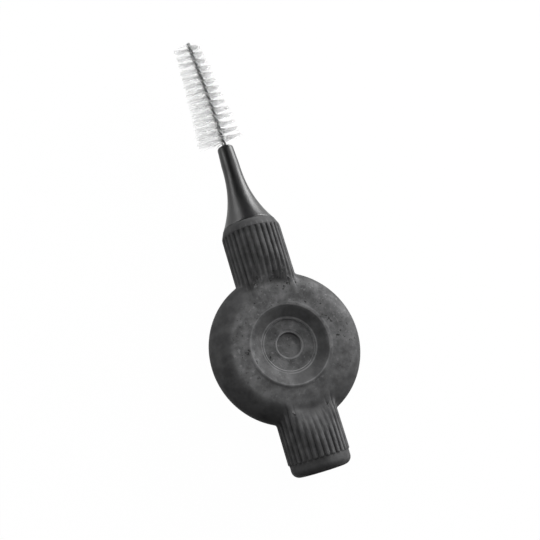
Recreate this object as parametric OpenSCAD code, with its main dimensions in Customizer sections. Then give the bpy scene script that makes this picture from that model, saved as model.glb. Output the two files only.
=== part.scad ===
// Interdental brush: a twisted wire brush in a glossy neck, held by a soft
// rubber handle with two ribbed barrels and a round, dished thumb disc.
// It lies flat. The long axis runs along Y with the brush towards +Y, the
// disc faces +Z, and the ribs rest on the ground plane. Lengths are in mm.

/* [Thumb disc] */
// Diameter of the disc
disc_d = 20; // [17:0.5:26]
// Thickness of the disc between its flat faces
disc_t = 5.1; // [4.4:0.1:6]
// Diameter of the dish for the finger tip, one on each face
dish_d = 10.3; // [8.6:0.1:11]
// Diameter at the foot of the dish's sloped wall
step_d = 7.1; // [5.4:0.1:8]
// Diameter of the round recess in the middle
eye_d = 3.3; // [2:0.1:4.6]
// Depth of the sloped wall
wall_depth = 0.7; // [0.3:0.05:0.8]
// Height of the small step at the wall's foot
step_depth = 0.12; // [0.05:0.01:0.2]
// Depth of the round recess below the ring round it
eye_depth = 0.25; // [0.1:0.05:0.35]

/* [Barrels] */
// Diameter of both barrels over their ribs
barrel_d = 8; // [7.4:0.1:9]
// Ribs round each barrel
rib_count = 32; // [24:4:40]
// Height of a rib above the groove beside it
rib_depth = 0.3; // [0.1:0.05:0.4]
// Ribbed length beyond the disc on the brush side
collar_len = 5.7; // [3:0.1:10]
// Ribbed length beyond the disc on the tail side
tail_len = 4.4; // [3:0.1:10]
// Length of the smooth cone from the ribs to the neck
shoulder_len = 1.35; // [0.6:0.05:2.5]
// Diameter of the flat mouth that the neck stands on
mouth_d = 7.1; // [5.6:0.1:7.2]
// Diameter of the smooth band at the tail's end
band_d = 7.7; // [6.6:0.1:7.8]
// Length of the smooth band, its rounded edge included
band_len = 1.6; // [1.3:0.1:3]
// Radius of the tail's rounded edge
band_round = 1; // [0.4:0.1:1.2]
// Radius about the disc's axis where the barrels' tops start to rise
ramp_foot_r = 8.2; // [7.6:0.1:8.6]
// Radius about the disc's axis where the barrels reach full height
ramp_top_r = 10; // [9.2:0.1:11.4]

/* [Neck] */
// Length of the neck in front of the handle
neck_len = 11.7; // [9.8:0.1:16]
// Diameter of the neck's foot on the handle
foot_d = 6.9; // [5:0.1:7]
// Height of the foot's straight edge
foot_edge = 0.12; // [0.05:0.01:0.4]
// Length over which the foot narrows to the stem
flare_len = 9; // [5:0.1:9.2]
// Diameter of the stem where the flare ends
stem_d = 2.46; // [2:0.02:3.2]
// Diameter of the stem at its end
stem_tip_d = 2.2; // [1.8:0.02:3]
// Radius of the stem's rounded end
stem_round = 0.35; // [0.1:0.05:0.5]
// How quickly the flare narrows, 1 being a plain cone
flare_power = 2.35; // [1.4:0.05:3.5]

/* [Neck anchor in the handle] */
// Length of the tang inside the handle
tang_len = 8.6; // [6.5:0.1:9.5]
// Diameter of the tang
tang_d = 3.4; // [2.6:0.1:3.8]
// Diameter over the tang's barbs
barb_d = 4.5; // [3.9:0.1:5]
// Length of a barb's cone
barb_len = 0.9; // [0.4:0.1:1.2]
// Barbs along the tang
barb_count = 3; // [1:1:4]
// Thickness of the two keys that stop the neck turning
key_t = 0.9; // [0.5:0.1:1.4]
// Width over both keys
key_w = 5; // [4.2:0.1:5.4]
// Length of the keys
key_len = 1.1; // [0.6:0.1:1.4]
// Clearance between the tang and its socket
fit_gap = 0.02; // [0.01:0.01:0.06]

/* [Wire] */
// Diameter of the bare wire
strand_d = 0.3; // [0.2:0.01:0.36]
// Length of one full twist of the two legs
twist_pitch = 2.2; // [1.8:0.05:3]
// Length of the wire in front of the neck
wire_out = 16.55; // [12:0.05:22]
// Length of the twisted wire moulded into the neck
wire_in = 7.7; // [4:0.1:9]
// How far the wire's tip is bent aside
tip_bend = 0.8; // [0:0.1:2]
// Clearance between the wire and the neck
wire_gap = 0.02; // [0.01:0.01:0.05]

/* [Bristles] */
// Nylon filaments clamped across the wire, two strands each
filament_count = 190; // [150:1:250]
// Thickness of a filament between the wire's legs
filament_d = 0.07; // [0.05:0.005:0.09]
// Thickness of a strand at its free end
strand_tip_d = 0.045; // [0.02:0.005:0.06]
// Diameter of the brush at the neck
brush_base_d = 6.3; // [4:0.1:7]
// Diameter of the brush at the wire's tip
brush_tip_d = 3.6; // [2.4:0.1:5]
// How far the brush's outline lies off the wire, on the side that the tip is bent to
brush_shift = 0.4; // [0:0.1:0.8]
// Bare wire between the neck and the first filament
bare_len = 0.65; // [0.3:0.05:3]
// Clearance between the filaments and the wire's legs
clamp_gap = 0.015; // [0.01:0.005:0.03]

/* [Hidden] */
// Faces round a full turn
round_fn = 96;
// Amount by which a cut runs past the solid that it cuts
overrun = 0.2;
// Share of a rib's pitch that its flat crest takes
crest_share = 0.34;
// Share of a rib's height that the smooth cone beside it reaches
cone_share = 0.5;
// Share of the disc's half thickness where the barrels' waist lies
waist_share = 0.5;
// Share of the tang's radius that a barb's cone starts from
barb_root_share = 0.75;
// Width of the strip of filaments between the legs, as a share of the bare wire
strip_share = 1.1;
// Straight sections on the neck's flare, on a rounded edge and on the wire's end bend
flare_steps = 24;
edge_steps = 6;
bend_steps = 6;
// Sides of the wire, and its sections on one full twist
wire_sides = 6;
wire_steps = 12;

// Stations along the long axis, from the disc's centre towards the brush
disc_r = disc_d / 2;
barrel_r = barrel_d / 2;
collar_y = disc_r + collar_len;
mouth_y = collar_y + shoulder_len;
neck_y = mouth_y + neck_len;
tip_y = neck_y + wire_out;
tail_y = -(disc_r + tail_len);
end_y = tail_y - band_len;
mid_y = (tip_y + end_y) / 2;

// The wire's two legs wind round the filaments that they clamp
leg_r = strand_d / 2 + filament_d / 2 + clamp_gap;
wire_r = leg_r + strand_d / 2;
turn_y = tip_y - wire_r;
root_y = neck_y - wire_in;
leg_rings = ceil((turn_y - root_y) * wire_steps / twist_pitch);
brush_y = neck_y + bare_len;
filament_step = (turn_y - brush_y) / filament_count;
strip_r = strip_share * strand_d / 2;

// Radius of the barrels at the bottom of the grooves, and of the smooth cone beside the ribs
groove_r = barrel_r - rib_depth;
cone_r = groove_r + rib_depth * cone_share;

// Turned shapes are drawn as radius and station, and lie along Y
module along_y() {
    rotate([-90, 0, 0]) children();
}

// The part's frame: middle of the length at the origin, ribs on the ground
module in_place() {
    translate([0, -mid_y, barrel_r]) children();
}

// Two triangles for a four-cornered face, split so that twisted faces bulge outwards
function quad(a, b, c, d) = [[a, b, d], [b, c, d]];

// The disc's cross-section: a flat plate with a fully rounded rim
module disc_section() {
    rim_r = disc_t / 2;
    translate([disc_r - rim_r, 0]) circle(r = rim_r, $fn = round_fn);
    translate([0, -rim_r]) square([disc_r - rim_r, disc_t]);
}

// The dish cut from the face at the height given: a sloped wall, a small step and a round recess
module dish(face_z) {
    ring_z = face_z - wall_depth - step_depth;
    rise = overrun * (dish_d - step_d) / 2 / wall_depth;
    rotate_extrude($fn = round_fn)
        polygon([[0, ring_z - eye_depth], [eye_d / 2, ring_z - eye_depth], [eye_d / 2, ring_z],
                 [step_d / 2, ring_z], [step_d / 2, ring_z + step_depth],
                 [dish_d / 2 + rise, face_z + overrun], [0, face_z + overrun]]);
}

// Outline of a ribbed barrel: a flat crest and a V-shaped groove for each rib
module rib_outline() {
    pitch = 360 / rib_count;
    crest = pitch * crest_share / 2;
    crest_r = barrel_r / cos(crest);
    polygon([for (i = [0 : rib_count - 1], p = [[crest_r, -crest], [crest_r, crest], [groove_r, pitch / 2]])
        let (a = i * pitch + p[1])
        p[0] * [cos(a), sin(a)]]);
}

// Both barrels are one ribbed bar, waisted about the disc's axis so that their tops sink into its faces
module barrels() {
    face_z = disc_t / 2;
    slope = (ramp_top_r - ramp_foot_r) / (barrel_r - face_z);
    low_z = face_z * waist_share;
    high_z = barrel_r + overrun;
    low_r = max(dish_d / 2, ramp_foot_r - slope * (face_z - low_z));
    high_r = ramp_foot_r + slope * (high_z - face_z);
    far_r = max(collar_y, -tail_y) + barrel_r;
    intersection() {
        along_y() translate([0, 0, tail_y]) linear_extrude(collar_y - tail_y) rib_outline();
        rotate_extrude($fn = round_fn)
            polygon([[0, -low_z], [low_r, -low_z], [high_r, -high_z], [far_r, -high_z],
                     [far_r, high_z], [high_r, high_z], [low_r, low_z], [0, low_z]]);
    }
}

// The smooth cone between the ribs and the neck
module shoulder() {
    along_y() rotate_extrude($fn = round_fn)
        polygon([[0, collar_y - rib_depth], [cone_r, collar_y - rib_depth],
                 [cone_r, collar_y + foot_edge], [mouth_d / 2, mouth_y], [0, mouth_y]]);
}

// The smooth band at the tail's end, with a rounded edge
module tail_band() {
    r = band_d / 2;
    core_r = groove_r - rib_depth;
    along_y() rotate_extrude($fn = round_fn)
        polygon(concat([[0, tail_y + rib_depth], [core_r, tail_y + rib_depth], [core_r, tail_y], [r, tail_y]],
            [for (i = [0 : edge_steps]) let (a = 90 * i / edge_steps)
                [r - band_round + band_round * cos(a), end_y + band_round - band_round * sin(a)]],
            [[0, end_y]]));
}

// The neck's anchor, and with a gap the socket that it fills. It runs on past the handle's mouth
module tang(gap) {
    first = mouth_y - key_len;
    pitch = (tang_len - key_len) / barb_count;
    along_y() {
        translate([0, 0, mouth_y - tang_len - gap])
            cylinder(r = tang_d / 2 + gap, h = tang_len + gap + overrun, $fn = round_fn);
        for (i = [0 : barb_count - 1])
            translate([0, 0, first - (i + 1) * pitch + barb_len - gap])
                cylinder(r1 = tang_d / 2 * barb_root_share + gap, r2 = barb_d / 2 + gap * 2,
                    h = barb_len + gap * 2, $fn = round_fn);
        translate([-key_w / 2 - gap, -key_t / 2 - gap, mouth_y - key_len - gap])
            cube([key_w + gap * 2, key_t + gap * 2, key_len + gap + overrun]);
    }
}

module handle() {
    color("#3a3a3c") in_place() difference() {
        union() {
            rotate_extrude($fn = round_fn) disc_section();
            barrels();
            shoulder();
            tail_band();
        }
        dish(disc_t / 2);
        mirror([0, 0, 1]) dish(disc_t / 2);
        tang(fit_gap);
    }
}

// The neck's outline from its foot to its rounded end, as radius and station
function flare_r(share) = stem_d / 2 + (foot_d - stem_d) / 2 * pow(1 - share, flare_power);
function neck_outline() = concat(
    [[0, mouth_y], [foot_d / 2, mouth_y]],
    [for (i = [0 : flare_steps]) let (share = i / flare_steps)
        [flare_r(share), mouth_y + foot_edge + (flare_len - foot_edge) * share]],
    [for (i = [0 : edge_steps]) let (a = 90 * i / edge_steps)
        [stem_tip_d / 2 - stem_round + stem_round * cos(a), neck_y - stem_round + stem_round * sin(a)]],
    [[0, neck_y]]);

module neck() {
    color("#141416") in_place() difference() {
        union() {
            along_y() rotate_extrude($fn = round_fn) polygon(neck_outline());
            tang(0);
        }
        along_y() translate([0, 0, root_y - wire_r])
            cylinder(r = wire_r + wire_gap, h = wire_in + wire_r + overrun, $fn = round_fn);
    }
}

// Sideways bend of the brush, growing from the neck to the tip
function bend_at(y) = -tip_bend * pow(max(0, y - neck_y) / wire_out, 2);

// A point by its station, its distance along the filaments there and its distance across them
function twisted(y, along, across) =
    let (a = 360 * (y - root_y) / twist_pitch)
    [bend_at(y) + along * cos(a) - across * sin(a), y, along * sin(a) + across * cos(a)];

// One section of the wire: centre, direction away from the brush's axis, and running direction
function leg_ring(y, side) =
    let (lead = 2 * PI * leg_r / twist_pitch, zero = twisted(y, 0, 0),
         out = side * (twisted(y, 0, 1) - zero), swing = side * (twisted(y, 1, 0) - zero) * lead,
         run = side * ([0, 1, 0] - swing))
    [zero + out * leg_r, out, run / norm(run)];
function turn_ring(a) =
    let (zero = twisted(turn_y, 0, 0), out = twisted(turn_y, 0, 1) - zero, up = [0, 1, 0])
    [zero + leg_r * (out * cos(a) + up * sin(a)), out * cos(a) + up * sin(a), up * cos(a) - out * sin(a)];

// The wire runs up one leg, turns over at the tip and comes down the other
wire_rings = concat(
    [for (i = [0 : leg_rings - 1]) leg_ring(root_y + (turn_y - root_y) * i / leg_rings, 1)],
    [for (i = [0 : bend_steps]) turn_ring(180 * i / bend_steps)],
    [for (i = [leg_rings - 1 : -1 : 0]) leg_ring(root_y + (turn_y - root_y) * i / leg_rings, -1)]);

module wire() {
    n = wire_sides;
    last = (len(wire_rings) - 1) * n;
    points = [for (ring = wire_rings, j = [0 : n - 1])
        let (a = 360 * j / n, side = cross(ring[2], ring[1]))
        ring[0] + strand_d / 2 * (ring[1] * cos(a) + side * sin(a))];
    faces = concat(
        [for (i = [0 : len(wire_rings) - 2], j = [0 : n - 1], f = quad(
            (i + 1) * n + j, (i + 1) * n + (j + 1) % n, i * n + (j + 1) % n, i * n + j)) f],
        [for (j = [1 : n - 2]) [0, j, j + 1]],
        [for (j = [1 : n - 2]) [last, last + j + 1, last + j]]);
    color("#6f7274") in_place() polyhedron(points, faces);
}

// Length of a strand from the wire's axis: the trimmed brush is a cone, a little off the wire
function strand_len(y, side) =
    let (share = (y - brush_y) / (turn_y - brush_y), sideways = twisted(y, side, 0)[0] - bend_at(y))
    (brush_base_d * (1 - share) + brush_tip_d * share) / 2 - brush_shift * sideways;

// Corners of the clamped strip at a station
function strip_ring(y) = [for (c = [[-1, -1], [1, -1], [1, 1], [-1, 1]])
    twisted(y, c[0] * strip_r, c[1] * filament_d / 2)];

// Corners of a strand's free end, on one side of the wire or the other
function strand_tip(y, side) = [for (c = [[-1, -1], [1, -1], [1, 1], [-1, 1]])
    twisted(y, side * strand_len(y, side), side * c[1] * strand_tip_d / 2) + [0, c[0] * strand_tip_d / 2, 0]];

// Filaments lie side by side in a twisted strip between the wire's legs,
// and each leaves it on both edges as a tapered strand
module bristles() {
    n = filament_count;
    tips = 4 * (n + 1);
    points = concat(
        [for (k = [0 : n], p = strip_ring(brush_y + k * filament_step)) p],
        [for (k = [0 : n - 1], side = [1, -1], p = strand_tip(brush_y + (k + 0.5) * filament_step, side)) p]);
    faces = concat(
        quad(0, 3, 2, 1),
        quad(4 * n, 4 * n + 1, 4 * n + 2, 4 * n + 3),
        [for (k = [0 : n - 1], f = concat(
            quad(4 * k + 1, 4 * k + 5, 4 * k + 4, 4 * k),
            quad(4 * k + 3, 4 * k + 7, 4 * k + 6, 4 * k + 2))) f],
        [for (k = [0 : n - 1], side = [0, 1])
            let (t = tips + 8 * k + 4 * side, b = side == 0
                ? [4 * k + 1, 4 * k + 5, 4 * k + 6, 4 * k + 2]
                : [4 * k + 3, 4 * k + 7, 4 * k + 4, 4 * k])
            each concat(quad(t, t + 3, t + 2, t + 1),
                [for (i = [0 : 3], f = quad(t + i, t + (i + 1) % 4, b[(i + 1) % 4], b[i])) f])]);
    color("#dfe3e3") in_place() polyhedron(points, faces);
}

handle();
neck();
wire();
bristles();
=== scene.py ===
# %% [markdown]
# # An interdental brush on a white table
# The brush has four pieces: a soft rubber handle with a round thumb disc, a glossy
# plastic neck, a twisted steel wire, and the nylon bristles that the wire holds.
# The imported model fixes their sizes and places. This script loads it first, and then
# dresses each piece with a finer surface and a finish of its own.

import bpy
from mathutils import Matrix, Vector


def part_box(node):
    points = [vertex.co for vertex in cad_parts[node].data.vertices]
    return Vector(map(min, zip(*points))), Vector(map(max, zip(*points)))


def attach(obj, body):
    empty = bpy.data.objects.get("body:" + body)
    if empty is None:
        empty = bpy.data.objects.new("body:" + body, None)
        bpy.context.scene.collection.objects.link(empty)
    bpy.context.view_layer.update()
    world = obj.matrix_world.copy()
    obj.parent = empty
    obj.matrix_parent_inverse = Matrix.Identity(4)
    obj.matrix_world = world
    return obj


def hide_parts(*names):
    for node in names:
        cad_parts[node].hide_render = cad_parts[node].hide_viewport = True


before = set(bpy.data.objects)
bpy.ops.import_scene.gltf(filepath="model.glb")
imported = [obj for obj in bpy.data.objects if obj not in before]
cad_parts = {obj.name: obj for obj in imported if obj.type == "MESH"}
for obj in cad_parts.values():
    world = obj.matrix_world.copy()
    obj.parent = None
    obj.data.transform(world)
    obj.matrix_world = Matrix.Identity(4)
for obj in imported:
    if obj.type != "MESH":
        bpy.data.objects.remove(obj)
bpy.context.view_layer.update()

# %% [markdown]
# ## Sizes
# All shapes are worked out in millimetres, because the brush is small, and one factor
# turns them into metres when a mesh is made. The long axis is Y. The disc's centre is
# the natural place to measure from, so the shapes are drawn round it and moved into
# the frame at the end. The big stations are read from the frame's own boxes.

import bpy
import numpy as np
from mathutils import Matrix, Vector

MM = 0.001
handle_low, handle_high = (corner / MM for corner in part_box("handle"))
neck_high, wire_high = (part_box(piece)[1] / MM for piece in ("neck", "wire"))

disc_r = handle_high.x
barrel_r = (handle_high.z - handle_low.z) / 2
tail_len = 4.4
band_len = 1.6
end_y = -(disc_r + tail_len + band_len)
centre = np.array([0, handle_low.y - end_y, barrel_r])
mouth_y = handle_high.y - centre[1]
neck_y = neck_high.y - centre[1]
tip_y = wire_high.y - centre[1]
tail_y = end_y + band_len
print(f"disc radius {disc_r:.2f}, barrel radius {barrel_r:.2f} mm")
print(f"tail end {end_y:.2f}, mouth {mouth_y:.2f}, neck end {neck_y:.2f}, "
      f"wire tip {tip_y:.2f} mm from the disc's centre")

# %% [markdown]
# ## From arrays to meshes
# Every surface here is a grid of points worked out as whole arrays. A grid needs only
# a rule for its faces, and pieces that are drawn as several patches are welded where
# their edges meet, so that the finished shell has no seam.

# %% Grids, welding and mesh objects
weld_grain = 1e-4
weld_offset = 0.37


def grid_faces(rows, columns, closed=False):
    """Quads of a grid whose points are numbered row by row, each joining four neighbours.
    A closed grid's last column is joined to its first."""
    row = np.arange(rows - 1)[:, None]
    column = np.arange(columns if closed else columns - 1)[None, :]
    beside = (column + 1) % columns
    corners = [row * columns + column, row * columns + beside,
               (row + 1) * columns + beside, (row + 1) * columns + column]
    return np.stack(corners, axis=-1).reshape(-1, 4)


def mirrored(points, faces, sign):
    """A patch reflected by changing the signs of its coordinates. The faces are turned over
    when an odd number of signs change, so that they still point outwards."""
    turned = faces[:, ::-1] if np.prod(sign) < 0 else faces
    return points * np.array(sign), turned


def welded(patches):
    """One shell from several patches: points in the same tiny cube of space become one
    point, and corners that fall together leave their face. The offset keeps the cubes'
    borders away from round figures, where many points lie."""
    counts = np.cumsum([0] + [len(points) for points, _ in patches])
    points = np.concatenate([points for points, _ in patches])
    faces = np.concatenate([faces + count for (_, faces), count in zip(patches, counts)])
    keys = np.round(points / weld_grain + weld_offset).astype(np.int64)
    _, first, place = np.unique(keys, axis=0, return_index=True, return_inverse=True)
    faces = place.reshape(-1)[faces]
    repeated = faces == np.roll(faces, 1, axis=1)
    pinched = repeated.sum(axis=1) == 1
    triangles = faces[pinched][~repeated[pinched]].reshape(-1, 3)
    return points[first], faces[~repeated.any(axis=1)], triangles


def mesh_object(name, points, quads, triangles):
    """A smooth-shaded object from points in millimetres about the disc's centre."""
    mesh = bpy.data.meshes.new(name)
    faces = np.asarray(quads).tolist() + np.asarray(triangles).tolist()
    mesh.from_pydata(((points + centre) * MM).tolist(), [], faces)
    mesh.polygons.foreach_set("use_smooth", np.ones(len(faces), bool))
    mesh.update()
    piece = bpy.data.objects.new(name, mesh)
    bpy.context.scene.collection.objects.link(piece)
    print(f"{name}: {len(points)} points, {len(faces)} faces")
    return piece


def add_attribute(piece, name, values):
    """A number on each point, which a material can read by its name."""
    layer = piece.data.attributes.new(name, "FLOAT", "POINT")
    layer.data.foreach_set("value", np.asarray(values, np.float32))
    print(f"{piece.name}: {name} is over a half on {np.mean(values > 0.5):.1%} of the points")


def open_edges(piece):
    """How many edges don't have exactly two faces. A closed shell has none."""
    sides = np.zeros(len(piece.data.loops), np.int64)
    piece.data.loops.foreach_get("edge_index", sides)
    return int((np.bincount(sides, minlength=len(piece.data.edges)) != 2).sum())


def smooth_step(low, high, value):
    """Rises from 0 at low to 1 at high, level at both ends."""
    share = np.clip((value - low) / (high - low), 0, 1)
    return share * share * (3 - 2 * share)


print(f"a grid of 3 by 4 points has {len(grid_faces(3, 4))} faces")


# %% [markdown]
# ## The handle's form
# The handle is one moulding: a disc with a round rim, and a ribbed bar that runs through
# it and sinks into its faces. Joining two meshes would leave a hard line where they cross.
# Here the whole outside is written as one distance function instead. It is nought on the
# surface, and a smooth minimum rounds the line where the disc meets the bar.

# %% The handle as a distance
disc_half = 2.55
rim_round = disc_half
flat_r = disc_r - rim_round
rib_count = 32
rib_pitch = 2 * np.pi / rib_count
rib_depth = 0.24
rib_power = 3.0
plateau_r = 7.0
arch_y = 5.6
arch_r = 3.0
ramp_angle = np.radians(31)
ramp_fade = 1.3
disc_fillet = 0.3
ramp_fillet = 1.0


def rib_share(turn):
    """How deep in a groove an angle round the barrel lies: 0 on a crest's middle, and 1 in
    the groove's."""
    return np.abs((turn / rib_pitch + 0.5) % 1 - 0.5) * 2


def rib_radius(turn):
    """Radius of the ribbed barrel: crests are round, and neighbours meet in a narrow V."""
    return barrel_r - rib_depth * rib_share(turn) ** rib_power


def smooth_min(a, b, reach):
    """The smaller of two distances, made round where they differ by less than the reach."""
    closeness = np.maximum(reach - np.abs(a - b), 0) / reach
    return np.minimum(a, b) - closeness ** 2 * reach / 4


def past_arch(x, y):
    """How far a place lies outside the round arch in which the bar ends on the disc."""
    return np.hypot(x, np.maximum(np.abs(y) - arch_y, 0)) - arch_r


def ramp_groove(x, z):
    """Depth of the grooves on the ramp. They run straight on from the barrel's own grooves
    and fade out where the ramp comes down to the disc's face."""
    turn = np.arcsin(np.clip(x / barrel_r, -1, 1))
    fade = smooth_step(0, ramp_fade, np.abs(z) - disc_half)
    return rib_depth * rib_share(turn) ** rib_power * fade


def handle_distance(points):
    """Distance from the disc, or from the ribbed bar cut by a ribbed ramp that rises from
    the arch, whichever is nearer. The dish isn't in it: it is drawn on the disc's grid."""
    x, y, z = points.T
    disc = np.hypot(np.maximum(np.hypot(x, y) - flat_r, 0), z) - rim_round
    bar = np.hypot(x, z) - rib_radius(np.arctan2(x, z))
    ramp = ((np.abs(z) + ramp_groove(x, z) - disc_half) * np.cos(ramp_angle)
            - past_arch(x, y) * np.sin(ramp_angle))
    return smooth_min(disc, -smooth_min(-bar, -ramp, ramp_fillet), disc_fillet)


rim_point = np.array([[disc_r, 0, 0]])
print(f"distance at a point of the disc's rim: {handle_distance(rim_point)[0]:.4f} mm")


def settled(points, steps=6, probe=1e-4, least=1e-9):
    """Moves points along the distance's gradient until they lie on the surface."""
    for _ in range(steps):
        slope = np.stack([handle_distance(points + step) - handle_distance(points - step)
                          for step in np.eye(3) * probe], axis=1) / (2 * probe)
        length = np.maximum((slope ** 2).sum(axis=1, keepdims=True), least)
        points = points - handle_distance(points)[:, None] * slope / length
    return points


# %% [markdown]
# ## One eighth of the handle
# The handle is the same on both sides of three planes, so one eighth is drawn and then
# mirrored. Its grid lines run along the ribs, ten to a rib, because a line that follows
# a rib keeps its crest and groove sharp. Three patches share their edges: the flat face
# with its dish, the round rim, and the bar's root, which runs from the disc outwards.

# %% Lines along the bar
# The knee is where the round bar comes down to the height of the disc's face. A few extra
# lines just before it and after it follow the edge of the face and the curve of the rim.
root_end = 13.0
lines_per_rib = 10
knee = np.arccos(disc_half / barrel_r)
before_knee = np.radians([-0.2, -0.1, 0])
rim_steps = np.radians([87, 81.5, 79])

past_knee = np.arccos(rim_round * np.sin(rim_steps) / barrel_r)
knee_turns = np.concatenate([knee + before_knee, past_knee])
line_turn = np.radians(np.linspace(0, 90, rib_count * lines_per_rib // 4 + 1))
line_turn = np.sort(np.concatenate([line_turn, knee_turns]))
face_lines = int(np.searchsorted(line_turn, knee_turns[0]))

line_x = barrel_r * np.sin(line_turn)
line_z = np.minimum(barrel_r * np.cos(line_turn), disc_half)
past_face = np.clip((line_turn - knee_turns[0]) / (knee - knee_turns[0]), 0, 1)
line_r = np.where(line_turn < knee, plateau_r + (flat_r - plateau_r) * past_face,
                  flat_r + np.sqrt(np.maximum(rim_round ** 2 - line_z ** 2, 0)))
root_edge = np.stack([line_x, np.sqrt(line_r ** 2 - line_x ** 2), line_z], axis=1)
print(f"{len(line_turn)} lines along a quarter of the bar, {face_lines} of them on the flat face")

# %% The bar's root
root_rows = 28
rib_growth = 0.3


def root_patch():
    """Each line starts on the disc and runs along the bar to where the root ends. It lies
    on the barrel, or on the ramp or the disc where the barrel is cut away. The ribs grow
    over the first share of a line, so that it starts on the disc's own edge."""
    share = np.linspace(0, 1, root_rows)[:, None]
    y = root_edge[None, :, 1] + (root_end - root_edge[None, :, 1]) * share
    spread = smooth_step(0, rib_growth, share)
    radius = barrel_r + (rib_radius(line_turn)[None, :] - barrel_r) * spread
    x = radius * np.sin(line_turn)
    z = radius * np.cos(line_turn)
    ramp_z = disc_half + past_arch(x, y) * np.tan(ramp_angle)
    ramp_z = ramp_z - ramp_groove(x, ramp_z)
    disc_z = np.sqrt(np.maximum(rim_round ** 2 - np.maximum(np.hypot(x, y) - flat_r, 0) ** 2, 0))
    z = np.maximum(np.minimum(z, ramp_z), np.minimum(disc_z, z))
    points = np.stack([x, y, z], axis=-1)
    points[0] = root_edge
    return points.reshape(-1, 3), grid_faces(root_rows, len(line_turn))


print(f"the root has {root_rows} rows and ends {root_end} mm from the disc's centre")

# %% The disc's rim
rim_columns = 48


def rim_patch():
    """Each row lies at one height on the rim and runs from the X axis round to the bar."""
    edge = root_edge[face_lines:]
    r = line_r[face_lines:, None]
    full = np.arctan2(edge[:, 1], edge[:, 0])[:, None]
    angle = full * np.linspace(0, 1, rim_columns)
    z = np.broadcast_to(edge[:, 2:], angle.shape)
    points = np.stack([r * np.cos(angle), r * np.sin(angle), z], axis=-1)
    points[:, -1] = edge
    return points.reshape(-1, 3), grid_faces(len(edge), rim_columns)[:, ::-1]


print(f"the rim has {rim_columns} columns in each eighth")


# %% [markdown]
# ## The dish for the finger tip
# The dish is turned about the disc's axis, so its cross-section is a short list of
# radius and height. Soft rubber has no knife edges: each corner is rounded by a few
# points, and low beads stand round the dish, at the foot of its wall and round the eye.

# %% The dish's cross-section
dish_r = 5.15
foot_r = 3.6
ledge_r = 3.3
eye_bead_r = 1.95
eye_r = 1.62
wall_depth = 0.7
step_depth = 0.12
eye_depth = 0.25
bead_height = 0.05
eye_lean_in = 0.06
eye_lean_out = 0.02
eye_bead_run = 0.08
step_run = 0.05
top_bead = 0.25
top_bead_run = 0.45


def rounded(corners, radii, samples=3):
    """A polyline whose corners are replaced by curves: each starts and ends at the given
    distance from its corner and bends evenly between."""
    corners = np.asarray(corners, float)
    path = [corners[:1]]
    for before, corner, after, radius in zip(corners, corners[1:], corners[2:], radii):
        start = corner + (before - corner) / np.linalg.norm(before - corner) * radius
        end = corner + (after - corner) / np.linalg.norm(after - corner) * radius
        t = np.linspace(0, 1, samples)[:, None]
        path.append(start * (1 - t) ** 2 + corner * 2 * t * (1 - t) + end * t ** 2)
    return np.concatenate(path + [corners[-1:]])


def filled(path, spacing):
    """The same line with extra points wherever two neighbours are further apart than the
    spacing."""
    lengths = np.linalg.norm(np.diff(path, axis=0), axis=1)
    steps = np.maximum(np.ceil(lengths / spacing), 1).astype(int)
    pieces = [a + (b - a) * np.arange(n)[:, None] / n for a, b, n in zip(path, path[1:], steps)]
    return np.concatenate(pieces + [path[-1:]])


ledge_z = disc_half - wall_depth
floor_z = ledge_z - step_depth
eye_z = floor_z - eye_depth
foot_z = ledge_z + bead_height / 2
dish_corners = np.array([  # radius, height, and how far from the corner its curve starts
    [0, eye_z, 0],
    [eye_r - eye_lean_in, eye_z, 0.05],
    [eye_r + eye_lean_out, floor_z + bead_height, 0.05],
    [eye_bead_r, floor_z + bead_height, 0.06],
    [eye_bead_r + eye_bead_run, floor_z, 0.04],
    [ledge_r, floor_z, 0.04],
    [ledge_r + step_run, foot_z, 0.05],
    [foot_r, foot_z, 0.15],
    [dish_r, disc_half + bead_height, 0.1],
    [dish_r + top_bead, disc_half + bead_height, 0.06],
    [dish_r + top_bead_run, disc_half, 0.1],
    [plateau_r, disc_half, 0]])
dish_section = filled(rounded(dish_corners[:, :2], dish_corners[1:-1, 2]), spacing=0.45)
print(f"{len(dish_section)} rings on the disc's face")


# %% The disc's face
def face_patch():
    """Rings about the disc's axis. Their outer ends meet the rim's and the root's first rows."""
    rim_row, root_row = root_edge[face_lines], root_edge[:face_lines]
    angle = np.concatenate([
        np.arctan2(rim_row[1], rim_row[0]) * np.linspace(0, 1, rim_columns),
        np.arctan2(root_row[::-1, 1], root_row[::-1, 0])])
    r = dish_section[:, :1]
    z = np.broadcast_to(dish_section[:, 1:], (len(dish_section), len(angle)))
    points = np.stack([r * np.cos(angle), r * np.sin(angle), z], axis=-1)
    points[-1, rim_columns - 1] = rim_row
    points[-1, rim_columns:] = root_row[::-1]
    return points.reshape(-1, 3), grid_faces(*points.shape[:2])[:, ::-1]


# %% Settle the patches on the surface
dish_margin = 0.5


def past_dish(points):
    """Which points lie outside the dish, on the disc's plain face or beyond it."""
    return np.hypot(points[:, 0], points[:, 1]) > dish_r + dish_margin


eighth = []
for points, faces in (root_patch(), rim_patch(), face_patch()):
    outside = past_dish(points)
    points[outside] = settled(points[outside])
    eighth.append((points, faces))
    worst = np.abs(handle_distance(points[outside])).max()
    print(f"patch of {len(points)} points, worst distance {worst:.5f} mm")

# %% [markdown]
# ## The two ends of the bar
# Past the root each barrel is a plain ribbed tube, so its radius depends only on the
# angle and the station. The ribs die out into a smooth cone at the neck, and into a
# smooth band with a rounded edge at the tail. Inside the mouth the tube goes on as the
# socket that holds the neck's barbed tang.

# %% Sections of the tang and its socket
tang_len = 8.6
tang_r = 1.7
barb_r = 2.25
barb_len = 0.9
barb_count = 3
key_len = 1.1
barb_root_share = 0.75
fit_gap = 0.02


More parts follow.
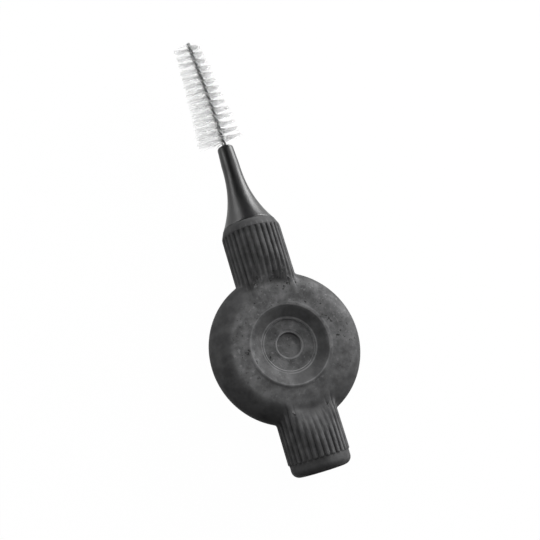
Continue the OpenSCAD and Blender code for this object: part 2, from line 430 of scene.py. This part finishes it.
def tang_section(gap):
    """Radius and station from the mouth inwards: a rod with barbs, grown by the gap."""
    pitch = (tang_len - key_len) / barb_count
    path = [[tang_r + gap, mouth_y]]
    for i in range(barb_count):
        foot = mouth_y - key_len - (i + 1) * pitch + barb_len
        lean = (1 - barb_root_share) * tang_r / ((barb_r - barb_root_share * tang_r) / barb_len)
        path += [[tang_r + gap, foot + barb_len + gap], [barb_r + gap, foot + barb_len + gap],
                 [tang_r + gap, foot + lean - gap]]
    end = mouth_y - tang_len - gap
    return np.array(path + [[tang_r + gap, end], [0, end]])


print(f"the tang is {tang_len} mm long and has {barb_count} barbs of radius {barb_r} mm")

# %% Profiles of both ends
cone_r = barrel_r - 0.02
mouth_r = 3.55
mouth_land = 0.3
shoulder_len = 1.15
shoulder_land = 0.12
collar_y = mouth_y - shoulder_len
band_r = 3.85
band_round = 1.0
band_row = 0.3
end_ring = 1
rib_fade = 0.24
ribs_margin = 0.01
shoulder_rounds = [0.01, 0.04, 0.1, 0.08]


def end_patch(section, rib_end, side):
    """A tube about the long axis. The section gives a smooth radius at each station, and up
    to the ribs' end the ribs replace it, fading out over a short length."""
    radius, y = section[:, :1], section[:, 1:]
    ribs = 1 - smooth_step(rib_end - rib_fade, rib_end, side * y)
    ribs = np.where(radius < cone_r - rib_depth, 0, ribs)
    round_r = radius + (rib_radius(line_turn)[None, :] - radius) * ribs
    points = np.stack([round_r * np.sin(line_turn), np.broadcast_to(y, round_r.shape),
                       round_r * np.cos(line_turn)], axis=-1)
    faces = grid_faces(len(section), len(line_turn))
    return points.reshape(-1, 3), faces if side > 0 else faces[:, ::-1]


def level_rows(radius, start, end, rows):
    """Rows of one radius at even stations."""
    return np.stack([np.full(rows, radius), np.linspace(start, end, rows)], axis=1)


shoulder = rounded([[cone_r, root_end], [cone_r, collar_y - rib_fade], [cone_r, collar_y],
                    [cone_r, collar_y + shoulder_land], [mouth_r, mouth_y],
                    [tang_r + mouth_land, mouth_y]], shoulder_rounds)
collar_section = filled(np.concatenate([shoulder, tang_section(fit_gap)]), spacing=0.5)
past_ribs = np.argmax(collar_section[:, 1] > collar_y + ribs_margin)
collar_rows = np.concatenate([level_rows(cone_r, root_end, collar_y - rib_fade, rows=12),
                              level_rows(cone_r, collar_y - rib_fade, collar_y, rows=7)[1:],
                              collar_section[past_ribs:]])

quarter = np.radians(np.linspace(0, 90, 12))
tail_rows = np.concatenate([level_rows(band_r, -root_end, tail_y + rib_fade, rows=9),
                            level_rows(band_r, tail_y + rib_fade, tail_y, rows=7)[1:],
                            [[band_r, tail_y - band_row]],
                            np.stack([band_r - band_round + band_round * np.cos(quarter),
                                      end_y + band_round - band_round * np.sin(quarter)], axis=1),
                            [[band_r - band_round - end_ring, end_y], [0, end_y]]])
print(f"{len(collar_rows)} rows at the collar, {len(tail_rows)} at the tail")

# %% The whole handle
quarter_signs = [(x, 1, z) for x in (1, -1) for z in (1, -1)]
patches = [mirrored(points, faces, (x, y, z)) for points, faces in eighth
           for x in (1, -1) for y in (1, -1) for z in (1, -1)]
collar = end_patch(collar_rows, collar_y, 1)
tail = end_patch(tail_rows, -tail_y, -1)
patches += [mirrored(*end, sign) for end in (collar, tail) for sign in quarter_signs]
handle_points, handle_quads, handle_triangles = welded(patches)
handle = mesh_object("rubber_handle", handle_points, handle_quads, handle_triangles)
print(f"open edges: {open_edges(handle)}")

# %% [markdown]
# ## Camera
# The camera stands where the photograph's lens stood. Its tilt was found from the
# disc's outline, the ends of the ribs and the wire's tip, so it is given as three turns
# of the object and a distance from the disc's centre.

# %% Camera at the photograph's angle
image_size = 540
focal_px = 764.906
sensor_mm = 36
camera_distance = 98.541
camera_offset = (2.022, -10.011)
camera_spin, camera_lean, camera_roll = np.radians([17.038, -12.59, 17.88])

turn = (Matrix.Rotation(camera_spin, 3, "Z") @ Matrix.Rotation(camera_lean, 3, "X")
        @ Matrix.Rotation(camera_roll, 3, "Y"))
eye = turn.transposed() @ Vector((-camera_offset[0], -camera_offset[1], camera_distance))
camera_data = bpy.data.cameras.new("camera")
camera_data.sensor_width = sensor_mm
camera_data.lens = focal_px / image_size * sensor_mm
camera_data.clip_start = 0.001
camera = bpy.data.objects.new("camera", camera_data)
camera.matrix_world = Matrix.Translation((eye + Vector(centre)) * MM) @ turn.transposed().to_4x4()
bpy.context.scene.collection.objects.link(camera)
bpy.context.scene.camera = camera
print(f"a {camera_data.lens:.1f} mm lens, {camera_distance} mm from the disc's centre")

# %% [markdown]
# ## Table and light
# The photograph's background is pure white. A low, wide lamp on the right models the ribs
# and the rim, and a weak one stands high on the same side. One on the left lifts the
# shaded flanks, and a low one beyond the tip shines along the brush. The table is pale,
# but the camera sees it as white, mixed with a little of its real shade so that a faint
# shadow stays under the brush. The white is a little over 1 to make up for that share.

# %% Node helpers
def new_material(name):
    """A material with an empty node tree, and the tree."""
    material = bpy.data.materials.new(name)
    material.use_nodes = True
    tree = material.node_tree
    tree.nodes.clear()
    return material, tree


def add_node(tree, kind, inputs=None, **settings):
    """A node with its settings, and its inputs set to values or linked to other sockets."""
    node = tree.nodes.new(kind)
    for key, value in settings.items():
        setattr(node, key, value)
    for key, value in (inputs or {}).items():
        if isinstance(value, bpy.types.NodeSocket):
            tree.links.new(value, node.inputs[key])
        else:
            node.inputs[key].default_value = value
    return node


def output_of(owner, kind, shader):
    """Sends a shader to the output of a material or of the world."""
    add_node(owner.node_tree, kind, {"Surface": shader.outputs[0]})
    print(f"{owner.name}: {len(owner.node_tree.nodes)} nodes")


def either(tree, a, b):
    """1 where one of two switches is on: their sum, held below 1."""
    return add_node(tree, "ShaderNodeMath", {0: a, 1: b},
                    operation="ADD", use_clamp=True).outputs[0]


def product(tree, a, b):
    """Two numbers multiplied."""
    return add_node(tree, "ShaderNodeMath", {0: a, 1: b}, operation="MULTIPLY").outputs[0]


def ranged(tree, value, low, high, to_low=0.0, to_high=1.0):
    """A number between low and high, stretched onto the second range and held inside it."""
    return add_node(tree, "ShaderNodeMapRange", {
        "Value": value, "From Min": low, "From Max": high,
        "To Min": to_low, "To Max": to_high}).outputs[0]


# %% The table
table_half = 1.0
table_grey = 0.25
shadow_share = 0.05
seen_white = 1.04

material, tree = new_material("white_table")
ray = add_node(tree, "ShaderNodeLightPath").outputs
seen = either(tree, ray["Is Camera Ray"], ray["Is Glossy Ray"])
seen = either(tree, seen, ray["Is Transmission Ray"])
share = product(tree, seen, 1 - shadow_share)
pale = add_node(tree, "ShaderNodeBsdfDiffuse", {"Color": (table_grey, table_grey, table_grey, 1)})
white = add_node(tree, "ShaderNodeEmission", {"Color": (1, 1, 1, 1), "Strength": seen_white})
output_of(material, "ShaderNodeOutputMaterial", add_node(tree, "ShaderNodeMixShader", {
    0: share, 1: pale.outputs[0], 2: white.outputs[0]}))

table_mesh = bpy.data.meshes.new("table")
corners = [(-table_half, -table_half, 0), (table_half, -table_half, 0),
           (table_half, table_half, 0), (-table_half, table_half, 0)]
table_mesh.from_pydata(corners, [], [(0, 1, 2, 3)])
table = bpy.data.objects.new("table", table_mesh)
bpy.context.scene.collection.objects.link(table)
table.data.materials.append(material)

# %% The surroundings
# They glow faintly, most on the side that the direction below points to, and the camera
# sees them as white.
glow_side = (0.7, 0.5, 0.5)
glow_band = (-0.25, 1.0)
glow_strength = (0.01, 0.17)

world = bpy.data.worlds.new("studio")
world.use_nodes = True
bpy.context.scene.world = world
tree = world.node_tree
tree.nodes.clear()
ray = add_node(tree, "ShaderNodeLightPath").outputs
seen = either(tree, ray["Is Camera Ray"], ray["Is Transmission Ray"])
way = add_node(tree, "ShaderNodeTexCoord").outputs["Generated"]
side = add_node(tree, "ShaderNodeVectorMath", {0: way, 1: glow_side}, operation="DOT_PRODUCT")
glow = ranged(tree, side.outputs["Value"], *glow_band, *glow_strength)
dim = add_node(tree, "ShaderNodeBackground", {"Color": (1, 1, 1, 1), "Strength": glow})
bright = add_node(tree, "ShaderNodeBackground", {"Color": (1, 1, 1, 1), "Strength": 1.0})
output_of(world, "ShaderNodeOutputWorld", add_node(tree, "ShaderNodeMixShader", {
    0: seen, 1: dim.outputs[0], 2: bright.outputs[0]}))
bpy.context.scene.view_settings.view_transform = "Standard"


# %% Lamps
def soft_lamp(name, round_table, height, width, depth, power, distance=0.3):
    """A lamp of the width and depth given that faces the brush. Its direction is two angles
    in degrees: one round the table from the X axis, and the height above the table."""
    lamp_data = bpy.data.lights.new(name, "AREA")
    lamp_data.shape = "RECTANGLE"
    lamp_data.size = width
    lamp_data.size_y = depth
    lamp_data.energy = power
    lamp = bpy.data.objects.new(name, lamp_data)
    bpy.context.scene.collection.objects.link(lamp)
    across, up = np.radians([round_table, height])
    outwards = Vector((np.cos(up) * np.cos(across), np.cos(up) * np.sin(across), np.sin(up)))
    facing = outwards.to_track_quat("Z", "Y").to_matrix().to_4x4()
    lamp.matrix_world = Matrix.Translation(outwards * distance) @ facing
    print(f"lamp {name}: {power} W, {round_table} degrees round the table, {height} up")


soft_lamp("key", round_table=29, height=15, width=0.32, depth=0.15, power=2.1)
soft_lamp("top", round_table=20, height=64, width=0.2, depth=0.2, power=0.28)
soft_lamp("left", round_table=155, height=26, width=0.1, depth=0.14, power=0.2)
soft_lamp("beyond", round_table=130, height=9, width=0.26, depth=0.08, power=0.42)


# %% [markdown]
# ## Rubber
# Soft charcoal rubber is matt. Its colour wanders between a darker and a lighter grey, and
# the crests of the ribs are paler than the grooves, partly rubbed and partly a painted
# highlight; painted highlights also follow the dish's raised rings. The flat faces are
# paler, with light grains and dark specks: partly fine dust, partly painted light on the
# faces that point up, with painted shade on the tail's side and a painted shadow beside
# the collar's foot. Where these lie are numbers on the mesh's points, which the material
# reads.

# %% Helpers for colours
def noise(tree, place, scale, detail, roughness=0.5):
    """A cloudy number between 0 and 1 that changes from place to place."""
    return add_node(tree, "ShaderNodeTexNoise", {
        "Vector": place, "Scale": scale, "Detail": detail, "Roughness": roughness}).outputs["Fac"]


def mixed(tree, share, first, second):
    """A colour between two others: the first at a share of 0, the second at 1."""
    return add_node(tree, "ShaderNodeMix", {"Factor": share, 6: first, 7: second},
                    data_type="RGBA").outputs[2]


# %% The rubber's finish
clean_dark, clean_light = (0.052, 0.052, 0.053, 1), (0.082, 0.082, 0.083, 1)
# The paler pair is for dust and painted light on the flat faces.
dusty_lit_dark, dusty_lit_light = (0.072, 0.072, 0.073, 1), (0.142, 0.142, 0.144, 1)
light_grain, dark_speck = (0.22, 0.22, 0.223, 1), (0.02, 0.02, 0.02, 1)
# Where wear and painted highlights lie, the rubber turns towards this grey, evenly and in patches.
worn_and_lit_grey = (0.19, 0.19, 0.193, 1)
even_wear_and_highlight, patchy_wear_and_highlight = 0.4, 0.6


def rubber():
    """Charcoal with patchy mottling and fine grain, pale where it is rubbed and where highlights
    are painted, and paler, with light grains and dark specks, where dust and painted light lie."""
    material, tree = new_material("soft_rubber")
    place = add_node(tree, "ShaderNodeTexCoord").outputs["Object"]
    wear_and_highlight_share = add_node(tree, "ShaderNodeAttribute", attribute_name="wear_and_highlight").outputs["Fac"]
    dust_and_light_share = add_node(tree, "ShaderNodeAttribute", attribute_name="dust_and_painted_light").outputs["Fac"]
    patch = noise(tree, place, scale=620.0, detail=6.0, roughness=0.6)
    fleck = noise(tree, place, scale=1900.0, detail=3.0, roughness=0.6)
    grain = noise(tree, place, scale=5200.0, detail=3.0, roughness=0.6)
    tone = ranged(tree, patch, 0.38, 0.64)
    clean = mixed(tree, tone, clean_dark, clean_light)
    # Paler where dust and painted light lie.
    colour = mixed(tree, dust_and_light_share, clean, mixed(tree, tone, dusty_lit_dark, dusty_lit_light))
    light = product(tree, ranged(tree, fleck, 0.6, 0.7, to_high=0.55), dust_and_light_share)
    dark = product(tree, ranged(tree, fleck, 0.38, 0.3, to_high=0.9), dust_and_light_share)
    colour = mixed(tree, dark, mixed(tree, light, colour, light_grain), dark_speck)
    # Paler where wear and painted highlights lie, partly in patches.
    patchy = product(tree, product(tree, wear_and_highlight_share, tone), patchy_wear_and_highlight)
    wear_and_highlight_total = add_node(tree, "ShaderNodeMath", {0: wear_and_highlight_share, 1: even_wear_and_highlight, 2: patchy},
                   operation="MULTIPLY_ADD")
    low = add_node(tree, "ShaderNodeBump", {"Height": patch, "Strength": 0.25, "Distance": 0.00006})
    fine = add_node(tree, "ShaderNodeBump", {
        "Height": grain, "Strength": 0.3, "Distance": 0.00001, "Normal": low.outputs[0]})
    output_of(material, "ShaderNodeOutputMaterial", add_node(tree, "ShaderNodeBsdfPrincipled", {
        "Base Color": mixed(tree, wear_and_highlight_total.outputs[0], colour, worn_and_lit_grey),
        "Roughness": ranged(tree, grain, 0.3, 0.7, 0.55, 0.72),
        "Normal": fine.outputs[0], "Specular IOR Level": 0.04}))
    return material


# %% Where dust and painted light lie
# Each band is a pair of places: where an effect begins, and where it is whole.
# Towards this angle, where the key lamp shines from, the pale faces reach further out: painted
# light, with dust specks.
lit_side_angle = np.radians(25)
# Out to this radius the flat faces are painted paler: dust, and painted light on faces that point
# up.
dust_and_light_r = 8.0
lit_side_reach = 1.7
dust_and_light_edge = 0.8
dish_band = (dish_r - 0.3, dish_r + 0.2)
# Painted shade on the tail's side of the disc.
tail_shade_band = (0.1, 0.9)
tail_painted_shade = 0.6
# The dish's floor is painted paler as well: dust, and painted light against its shaded walls.
floor_band = (foot_r, foot_r - 0.3)
floor_dust_and_light = 0.6
# Painted light on the dish's slope that faces the key lamp.
lit_slope_band = (0.3, 0.9)
slope_from_r = eye_r + 0.3
dish_painted_light = 0.5
# Painted light over the collar ramp's own shade, with dust.
arch_band = (3.2, 0.2)
arch_from_y = 6
arch_from_z = disc_half - 0.3
# Below this height nothing is painted paler, so the rim's lower part and the bar's sides stay
# darker.
dust_and_light_from_z = eye_z - 0.1
# Painted shadow of the collar's foot, on the disc to its left.
painted_shadow_x, painted_shadow_y = (-1.8, -3.2), (6.0, 7.0)
painted_shadow_depth = 0.9


def dust_and_painted_light(points):
    """1 on the faces that lie flat, partly dust and partly painted light on faces that point up,
    falling to 0 round the rim and in the dish's slopes. It reaches further out on the side
    that the key lamp shines from, as painted light with dust specks, and lies as painted
    light in the dish's slope that faces that lamp. On the collar's side it runs up to the
    ends of the ribs, as painted light over the ramp's own shade with dust. On the tail's
    side less of it is left, as painted shade, and a painted shadow of the collar's foot
    darkens the disc on its left."""
    x, y, z = points.T
    r = np.hypot(x, y)
    # Towards the key lamp's side the pale faces reach further out: painted light, with dust specks.
    toward_lit_side = np.cos(np.arctan2(y, x) - lit_side_angle)
    edge = dust_and_light_r + lit_side_reach * np.maximum(toward_lit_side, 0)
    flat = smooth_step(edge, edge - dust_and_light_edge, r) * smooth_step(*dish_band, r)
    # Painted shade: less paleness on the tail's side of the disc.
    flat = flat * (1 - tail_painted_shade * smooth_step(*tail_shade_band, -y / np.maximum(r, 1)))
    flat = flat + smooth_step(*floor_band, r) * floor_dust_and_light
    # Painted light: the dish's slope that faces the key lamp is made paler.
    slope = dish_painted_light * smooth_step(*lit_slope_band, -toward_lit_side)
    flat = flat + slope * (r < dish_r) * (r > slope_from_r)
    # Painted light over the collar ramp's own shade, with dust.
    ramp_painted_light = smooth_step(*arch_band, past_arch(x, y)) * (y > arch_from_y) * (np.abs(z) > arch_from_z)
    dust_and_light_total = np.maximum(flat * (np.abs(z) > dust_and_light_from_z), ramp_painted_light)
    # Painted shadow of the collar's foot darkens the disc on its left.
    in_painted_shadow = smooth_step(*painted_shadow_x, x) * smooth_step(*painted_shadow_y, y)
    return np.clip(dust_and_light_total * (1 - painted_shadow_depth * in_painted_shadow), 0, 1)


# %% Where fingers rub and highlights are painted
ring_width = 0.07
# Painted highlights lie along these raised rings of the dish.
highlit_rings = (dish_r + 0.03, ledge_r, foot_r, eye_r + 0.06)
rings_end = dish_r + 0.4
# How pale the ribs' crests are painted: partly wear, partly painted highlight.
crest_wear_and_highlight = 0.35
crest_sharpness = 2.4
crest_reach = 0.12
arch_margin = 0.3


def wear_and_highlight(points):
    """1 on painted highlights: a bell curve about each raised ring of the dish, and the
    crests of the ribs, partly worn and partly painted highlight. 0 in the grooves and on smooth
    faces."""
    x, y, z = points.T
    r = np.hypot(x, y)
    # Painted highlights along the dish's raised rings.
    rings = sum(np.exp(-((r - ring) / ring_width) ** 2) for ring in highlit_rings)
    rings = rings * (np.abs(z) > floor_z) * (r < rings_end)
    ribbed = smooth_step(0, arch_margin, past_arch(x, y)) * (np.abs(y) > arch_y) * (r > plateau_r)
    on_barrel = np.abs(np.hypot(x, z) - barrel_r) < crest_reach
    # The ribs' crests are paler: partly wear, partly painted highlight.
    crest = np.clip(1 - rib_share(np.arctan2(x, z)) * crest_sharpness, 0, 1) * on_barrel
    return np.clip(rings + crest_wear_and_highlight * crest * ribbed, 0, 1)


# The points carry wear with painted highlights, and dust with painted light.
add_attribute(handle, "wear_and_highlight", wear_and_highlight(handle_points))
add_attribute(handle, "dust_and_painted_light", dust_and_painted_light(handle_points))
handle.data.materials.append(rubber())
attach(handle, "root")
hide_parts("handle")

# %% [markdown]
# ## The neck
# The neck is turned, so its whole surface is one cross-section carried round the long
# axis. It flares from a thin stem into a foot, and the flare is a power curve, which
# starts steeply at the foot and dies away along the stem. The bore for the wire and the
# barbed tang inside the handle are part of the same section.

# %% The neck
foot_rim = 3.45
foot_edge = 0.12
flare_len = 9.0
stem_r = 1.23
stem_tip_r = 1.1
stem_round = 0.35
flare_power = 2.35
wire_out = tip_y - neck_y
wire_in = 7.7
wire_r = 0.35
wire_gap = 0.02
bore_bevel = 0.04
foot_rounds = [0.04, 0.05]
flare_rings = 60
root_y = neck_y - wire_in
neck_sides = 72


def turned(section, sides):
    """A section of radius and station carried round the long axis. Points of no radius
    fall together at a pole when the shell is welded."""
    turn = np.arange(sides) / sides * 2 * np.pi
    radius, y = section[:, :1], section[:, 1:]
    points = np.stack([radius * np.sin(turn), np.broadcast_to(y, (len(section), sides)),
                       radius * np.cos(turn)], axis=-1)
    return points.reshape(-1, 3), grid_faces(len(section), sides, closed=True)


share = np.linspace(0, 1, flare_rings)
flare = np.stack([stem_r + (foot_rim - stem_r) * (1 - share) ** flare_power,
                  mouth_y + foot_edge + (flare_len - foot_edge) * share], axis=1)
quarter = np.radians(np.linspace(0, 90, 8))
dome = np.stack([stem_tip_r - stem_round + stem_round * np.cos(quarter),
                 neck_y - stem_round + stem_round * np.sin(quarter)], axis=1)
bore_r = wire_r + wire_gap
bore_end = root_y - wire_r
bore = np.array([[bore_r + bore_bevel, neck_y], [bore_r, neck_y - bore_bevel],
                 [bore_r, bore_end], [0, bore_end]])
foot = rounded([[tang_r, mouth_y], [foot_rim, mouth_y], [foot_rim, mouth_y + foot_edge],
                flare[1]], foot_rounds)
neck_section = np.concatenate([tang_section(0)[::-1][:-1], foot, flare[2:], dome, bore])
neck_shell = turned(filled(neck_section, spacing=0.4), neck_sides)
neck = mesh_object("glossy_neck", *welded([neck_shell]))
print(f"open edges: {open_edges(neck)}")


# %% The neck's finish
def glossy_plastic():
    """Black moulded plastic: smooth, with faint lengthwise scuffs that vary its shine."""
    material, tree = new_material("glossy_black")
    place = add_node(tree, "ShaderNodeTexCoord").outputs["Object"]
    drawn = add_node(tree, "ShaderNodeMapping", {"Vector": place, "Scale": (1.0, 0.12, 1.0)})
    scuff = noise(tree, drawn.outputs[0], scale=2600.0, detail=4.0, roughness=0.55)
    wave = add_node(tree, "ShaderNodeBump", {
        "Height": scuff, "Strength": 0.05, "Distance": 0.00002})
    output_of(material, "ShaderNodeOutputMaterial", add_node(tree, "ShaderNodeBsdfPrincipled", {
        "Base Color": (0.005, 0.005, 0.0055, 1),
        "Roughness": ranged(tree, scuff, 0.45, 0.75, 0.34, 0.44),
        "Normal": wave.outputs[0], "Specular IOR Level": 0.4}))
    return material


neck.data.materials.append(glossy_plastic())
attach(neck, "root")
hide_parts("neck")

# %% [markdown]
# ## The wire
# One wire is folded in a hairpin at the tip, and its two legs are wound round each other
# with the filaments between them. So the wire is one unbroken tube: it climbs a helix,
# turns over at the tip, and comes down the helix on the other side. The far end of the
# brush is bent a little to one side, and the same bend carries the wire and the bristles.

# %% The twist that wire and bristles share
strand_r = 0.15
leg_r = 0.2
twist_pitch = 2.2
tip_bend = 0.8
turn_y = tip_y - wire_r


def bend_at(y):
    """Sideways place of the brush's axis: it grows with the square of the distance from the
    neck."""
    return -tip_bend * (np.maximum(y - neck_y, 0) / wire_out) ** 2


def twisted(y, along, across):
    """A point by its station, and its distances along and across the filaments there. The
    two directions turn about the axis by one full turn in each pitch."""
    angle = 2 * np.pi * (y - root_y) / twist_pitch
    return np.stack([bend_at(y) + along * np.cos(angle) - across * np.sin(angle),
                     y + 0 * angle, along * np.sin(angle) + across * np.cos(angle)], axis=-1)


def tube(path, out, run, radius, sides):
    """Rings about a path. Each ring is spanned by a direction outwards and one square to
    that and to the running direction."""
    side = np.cross(run, out)
    angle = np.arange(sides) / sides * 2 * np.pi
    spoke = np.cos(angle)[:, None] * out[:, None] + np.sin(angle)[:, None] * side[:, None]
    points = path[:, None] + radius * spoke
    return points.reshape(-1, 3), grid_faces(len(path), sides, closed=True)[:, ::-1]


print(f"the twist turns {wire_out / twist_pitch:.1f} times between the neck and the tip")

# %% The wire
wire_sides = 14
leg_rings = 300
bend_rings = 14


def leg(side):
    """Centre, outward and running directions of one leg, from the neck to the tip."""
    y = np.linspace(root_y, turn_y, leg_rings, endpoint=False)
    axis, outer = twisted(y, 0, 0), twisted(y, 0, 1)
    out = side * (outer - axis)
    swing = -side * (twisted(y, 1, 0) - axis) * 2 * np.pi * leg_r / twist_pitch
    run = [0, 1, 0] + swing
    return axis + out * leg_r, out, run / np.linalg.norm(run, axis=1, keepdims=True)


up_path, up_out, up_run = leg(1)
down_path, down_out, down_run = (part[::-1] for part in leg(-1))
top = twisted(np.array([turn_y]), 0, 0)
across = twisted(np.array([turn_y]), 0, 1) - top
over = np.linspace(0, np.pi, bend_rings)[:, None]
over_out = across * np.cos(over) + np.array([0, 1, 0]) * np.sin(over)
over_run = np.array([0, 1, 0]) * np.cos(over) - across * np.sin(over)
wire_path = np.concatenate([up_path, top + leg_r * over_out, down_path])
wire_outward = np.concatenate([up_out, over_out, down_out])
wire_run = np.concatenate([up_run, over_run, -down_run])
wire_points, wire_faces = tube(wire_path, wire_outward, wire_run, strand_r, wire_sides)
near_end = np.arange(wire_sides)
beside = np.roll(near_end, -1)
to_far_end = len(wire_points) - wire_sides
near_centre = np.full(wire_sides, len(wire_points))
cap = np.concatenate([
    np.stack([near_end, beside, near_centre], axis=1),
    np.stack([beside + to_far_end, near_end + to_far_end, near_centre + 1], axis=1)])
cap_centres = np.array([wire_path[0], wire_path[-1]])
wire = mesh_object("twisted_wire", np.concatenate([wire_points, cap_centres]), wire_faces, cap)
print(f"open edges: {open_edges(wire)}")


# %% The wire's finish
steel_dark, steel_light = (0.14, 0.142, 0.142, 1), (0.3, 0.305, 0.305, 1)


def drawn_steel():
    """Dull drawn steel: a grey metal with fine variations of shine."""
    material, tree = new_material("drawn_steel")
    place = add_node(tree, "ShaderNodeTexCoord").outputs["Object"]
    streak = noise(tree, place, scale=6000.0, detail=3.0)
    output_of(material, "ShaderNodeOutputMaterial", add_node(tree, "ShaderNodeBsdfPrincipled", {
        "Base Color": mixed(tree, streak, steel_dark, steel_light), "Metallic": 1.0,
        "Roughness": ranged(tree, streak, 0, 1, 0.25, 0.5)}))
    return material


wire.data.materials.append(drawn_steel())
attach(wire, "root")
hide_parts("wire")

# %% [markdown]
# ## The bristles
# Each filament passes between the wire's legs and sticks out on both sides, so as the
# legs wind, the filaments fan out like a spiral stair. Seen from the side this makes the
# fins that the photograph shows. The filaments are gathered a little towards the two
# sides, which parts the fins. The brush is trimmed to a cone that lies a little off the
# wire, and each filament is a thin tube with its own small bend.

# %% Draw the filaments' places
filament_count = 900
filament_r = 0.03
filament_end_r = 0.022
filament_rings = 9
filament_sides = 5
brush_y = neck_y + 0.65
base_reach = 3.15
tip_reach = 1.8
brush_shift = 0.4
wire_clear = 0.32
fin_gather = 0.27
fin_tilt = 0.6
fin_tilt_rise = 0.06
fin_skew = 0.14
trim_spread = 0.03
lean_spread = 0.035
fan_spread = 0.09
sag_spread = 0.02
draw = np.random.default_rng(11)

jitter = draw.uniform(0.1, 0.9, filament_count)
station = brush_y + (turn_y - brush_y) * (np.arange(filament_count) + jitter) / filament_count
cone_share = (station - brush_y) / (turn_y - brush_y)
reach = base_reach + (tip_reach - base_reach) * cone_share
turn_back = -fin_gather * np.sin(4 * np.pi * (station - root_y) / twist_pitch)
straight, square = (twisted(station, *way) - twisted(station, 0, 0) for way in ((1, 0), (0, 1)))
heading = straight * np.cos(turn_back)[:, None] + square * np.sin(turn_back)[:, None]
crossing = square * np.cos(turn_back)[:, None] - straight * np.sin(turn_back)[:, None]
span = np.linspace(-1, 1, filament_rings)
side_reach = np.stack([reach + brush_shift * heading[:, 0],
                       reach - brush_shift * heading[:, 0]], axis=1)
side_reach *= draw.normal(1, trim_spread, side_reach.shape)
lean = draw.normal(0, lean_spread, side_reach.shape)
fan = draw.normal(0, fan_spread, side_reach.shape)
sag = draw.normal(0, sag_spread, side_reach.shape)
print(f"{filament_count} filaments, longest reach {side_reach.max():.2f} mm")


# %% The filaments as tubes
def filament_tubes():
    """Rings of all filaments at once. A filament is straight where the wire holds it, and
    beyond that it leans along the brush, fans out across it and sags by the square of
    its distance. Its lean is the smaller of its own and the one that ends at the tip."""
    far = (span > 0).astype(int)
    along = np.abs(span)[None, :] * side_reach[:, far]
    free = np.maximum(along - wire_clear, 0)
    tilt = (fin_tilt + fin_tilt_rise * cone_share)[:, None]
    slant = fin_skew * heading[:, :1] - tilt * heading[:, 2:]
    free_reach = np.maximum(side_reach[:, far] - wire_clear, wire_clear)
    room = (tip_y - filament_r - station)[:, None] / free_reach
    drift = np.minimum(lean[:, far] + slant * np.sign(span), room) * free
    swing = fan[:, far] * free + sag[:, far] * free ** 2
    straight_out = heading[:, None] * (along * np.sign(span))[..., None]
    middle = (twisted(station, 0, 0)[:, None] + straight_out
              + crossing[:, None] * swing[..., None] + np.array([0, 1, 0]) * drift[..., None])
    radius = filament_r + (filament_end_r - filament_r) * np.abs(span)
    angle = np.arange(filament_sides) / filament_sides * 2 * np.pi
    ring = (np.cos(angle)[None, :, None] * crossing[:, None]
            + np.sin(angle)[None, :, None] * np.array([0, 1, 0]))
    points = middle[:, :, None] + ring[:, None] * radius[None, :, None, None]
    return points.reshape(-1, 3)


bristle_points = filament_tubes()
tube_points = filament_rings * filament_sides
one_tube = grid_faces(filament_rings, filament_sides, closed=True)
starts = np.arange(filament_count) * tube_points
bristle_quads = (starts[:, None, None] + one_tube[None]).reshape(-1, 4)
fan_corners = np.stack([np.zeros(filament_sides - 2, int), np.arange(2, filament_sides),
                        np.arange(1, filament_sides - 1)], axis=1)
near_caps = starts[:, None, None] + fan_corners[None]
far_caps = starts[:, None, None] + (tube_points - filament_sides) + fan_corners[None, :, ::-1]
bristle_triangles = np.concatenate([near_caps, far_caps]).reshape(-1, 3)
bristles = mesh_object("nylon_bristles", bristle_points, bristle_quads, bristle_triangles)
print(f"open edges: {open_edges(bristles)}")


# %% The bristles' finish
nylon_dark, nylon_light = (0.925, 0.93, 0.93, 1), (0.96, 0.96, 0.96, 1)


def nylon():
    """Clear-to-white nylon: pale and partly see-through."""
    material, tree = new_material("clear_nylon")
    place = add_node(tree, "ShaderNodeTexCoord").outputs["Object"]
    cloud = noise(tree, place, scale=900.0, detail=2.0)
    output_of(material, "ShaderNodeOutputMaterial", add_node(tree, "ShaderNodeBsdfPrincipled", {
        "Base Color": mixed(tree, cloud, nylon_dark, nylon_light), "Roughness": 0.2,
        "Transmission Weight": 0.85, "IOR": 1.18, "Alpha": 0.88}))
    return material


bristles.data.materials.append(nylon())
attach(bristles, "root")
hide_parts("bristles")
